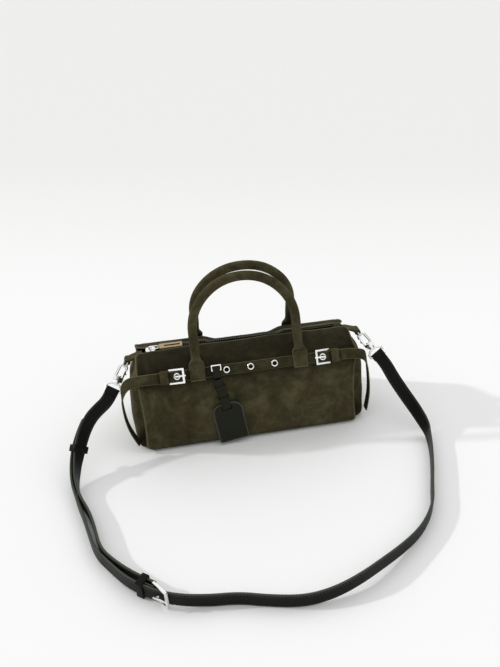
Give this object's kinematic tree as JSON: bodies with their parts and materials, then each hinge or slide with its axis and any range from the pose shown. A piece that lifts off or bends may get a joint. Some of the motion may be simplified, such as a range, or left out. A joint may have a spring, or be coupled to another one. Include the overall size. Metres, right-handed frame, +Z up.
{
  "type": "barrel bag",
  "caption": "East-west suede barrel bag with pleated ends, ridge zip, rolled handles, a buckled belt with loose tails, a hanging tag and a clip-on shoulder strap.",
  "frame": {"origin": "middle of the bag's base, on the surface it stands on", "axes": "+X along the bag to the right as seen from its front, -Y out of the front face, +Z up"},
  "size_m": [0.4871, 0.4043, 0.2392],
  "materials": {
    "olive_suede": "napped suede, mottled",
    "black_leather": "smooth, satin",
    "tag_leather": "smooth, stitched",
    "nickel": "polished",
    "gold_plate": "satin gold plate",
    "zip_cloth": "woven tape",
    "lining_cloth": "plain woven",
    "stiff_board": "plain board"
  },
  "bodies": {
    "bag": {"back_left_handle_tab": "olive_suede", "back_lining": "lining_cloth", "back_panel": "olive_suede", "back_right_handle_tab": "olive_suede", "base_board": "stiff_board", "base_panel": "olive_suede", "belt": "olive_suede", "belt_eyelets": "nickel", "front_left_handle_tab": "olive_suede", "front_lining": "lining_cloth", "front_panel": "olive_suede", "front_right_handle_tab": "olive_suede", "left_belt_keeper": "olive_suede", "left_buckle_anchor": "olive_suede", "left_buckle_frame": "nickel", "left_gusset": "olive_suede", "left_ring_tab": "olive_suede", "long_strap": "black_leather", "right_belt_keeper": "olive_suede", "right_buckle_anchor": "olive_suede", "right_buckle_frame": "nickel", "right_gusset": "olive_suede", "right_ring_tab": "olive_suede", "short_strap": "black_leather", "strap_buckle_frame": "nickel", "strap_keepers": "black_leather", "tag_buckle": "nickel", "tag_loop": "tag_leather", "zip_end_tab": "tag_leather", "zip_tape_back": "zip_cloth", "zip_tape_front": "zip_cloth", "zip_teeth_back": "nickel", "zip_teeth_front": "nickel"},
    "front_handle": {"front_handle": "olive_suede", "front_handle_core": "olive_suede"},
    "back_handle": {"back_handle": "olive_suede", "back_handle_core": "olive_suede"},
    "slider": {"zip_slider": "nickel"},
    "link": {"zip_link": "nickel"},
    "pull": {"zip_pull": "gold_plate"},
    "tag_hanger": {"tag_hanger": "tag_leather", "tag_keepers": "tag_leather"},
    "tag": {"tag": "tag_leather"},
    "left_prong": {"left_buckle_prong": "nickel"},
    "right_prong": {"right_buckle_prong": "nickel"},
    "strap_prong": {"strap_buckle_prong": "nickel"},
    "left_clip": {"left_d_ring": "nickel", "left_swivel": "nickel", "left_strap_fold": "black_leather"},
    "left_hook": {"left_hook": "nickel"},
    "left_gate": {"left_hook_gate": "nickel"},
    "right_clip": {"right_d_ring": "nickel", "right_swivel": "nickel", "right_strap_fold": "black_leather"},
    "right_hook": {"right_hook": "nickel"},
    "right_gate": {"right_hook_gate": "nickel"}
  },
  "joints": [
    {"name": "front_handle_fold", "type": "hinge", "parent": "bag", "child": "front_handle", "pos_m": [-0.0035, -0.03738, 0.13037], "axis": [1, 0, 0], "range_deg": [0, 75]},
    {"name": "back_handle_fold", "type": "hinge", "parent": "bag", "child": "back_handle", "pos_m": [0.0035, 0.0337, 0.12834], "axis": [-1, 0, 0], "range_deg": [0, 75]},
    {"name": "zip_slide", "type": "slide", "parent": "bag", "child": "slider", "axis": [1, 0, 0], "range_m": [0, 0.252]},
    {"name": "zip_link_flip", "type": "hinge", "parent": "slider", "child": "link", "pos_m": [-0.131, 0, 0.13105], "axis": [0, -1, 0], "range_deg": [0, 120]},
    {"name": "zip_pull_flip", "type": "hinge", "parent": "link", "child": "pull", "pos_m": [-0.12, 0, 0.13105], "axis": [0, -1, 0], "range_deg": [0, 50]},
    {"name": "tag_lift", "type": "hinge", "parent": "bag", "child": "tag_hanger", "pos_m": [-0.047, -0.0542, 0.10007], "axis": [-1, 0, 0], "range_deg": [0, 60]},
    {"name": "tag_swing", "type": "hinge", "parent": "tag_hanger", "child": "tag", "pos_m": [-0.03756, -0.05937, 0.05588], "axis": [0, -0.9844, 0.1762], "range_deg": [-9, 12]},
    {"name": "left_prong", "type": "hinge", "parent": "bag", "child": "left_prong", "pos_m": [-0.1095, -0.04594, 0.1094], "axis": [0, -0.482, -0.8762], "range_deg": [0, 5]},
    {"name": "right_prong", "type": "hinge", "parent": "bag", "child": "right_prong", "pos_m": [0.1095, -0.04594, 0.1094], "axis": [0, 0.482, 0.8762], "range_deg": [0, 5]},
    {"name": "strap_prong", "type": "hinge", "parent": "bag", "child": "strap_prong", "pos_m": [-0.15242, -0.29656, 0.0125], "axis": [0, 0, -1], "range_deg": [0, 5]},
    {"name": "left_clip_swing", "type": "hinge", "parent": "bag", "child": "left_clip", "pos_m": [-0.164, 0, 0.116], "axis": [0, 1, 0], "range_deg": [0, 15], "deforming": ["short_strap"]},
    {"name": "left_hook_turn", "type": "hinge", "parent": "left_clip", "child": "left_hook", "pos_m": [-0.16835, -0.00264, 0.11081], "axis": [-0.5265, -0.5736, -0.6275], "range_deg": [-12, 12]},
    {"name": "left_hook_gate", "type": "hinge", "parent": "left_hook", "child": "left_gate", "pos_m": [-0.17516, -0.01422, 0.09493], "axis": [0.3687, -0.8191, 0.4394], "range_deg": [0, 15]},
    {"name": "right_clip_swing", "type": "hinge", "parent": "bag", "child": "right_clip", "pos_m": [0.164, 0, 0.116], "axis": [0, -1, 0], "range_deg": [0, 15], "deforming": ["long_strap"]},
    {"name": "right_hook_turn", "type": "hinge", "parent": "right_clip", "child": "right_hook", "pos_m": [0.16835, -0.00264, 0.11081], "axis": [0.5265, -0.5736, -0.6275], "range_deg": [-12, 12]},
    {"name": "right_hook_gate", "type": "hinge", "parent": "right_hook", "child": "right_gate", "pos_m": [0.17516, -0.01422, 0.09493], "axis": [0.3687, 0.8191, -0.4394], "range_deg": [0, 15]}
  ]
}
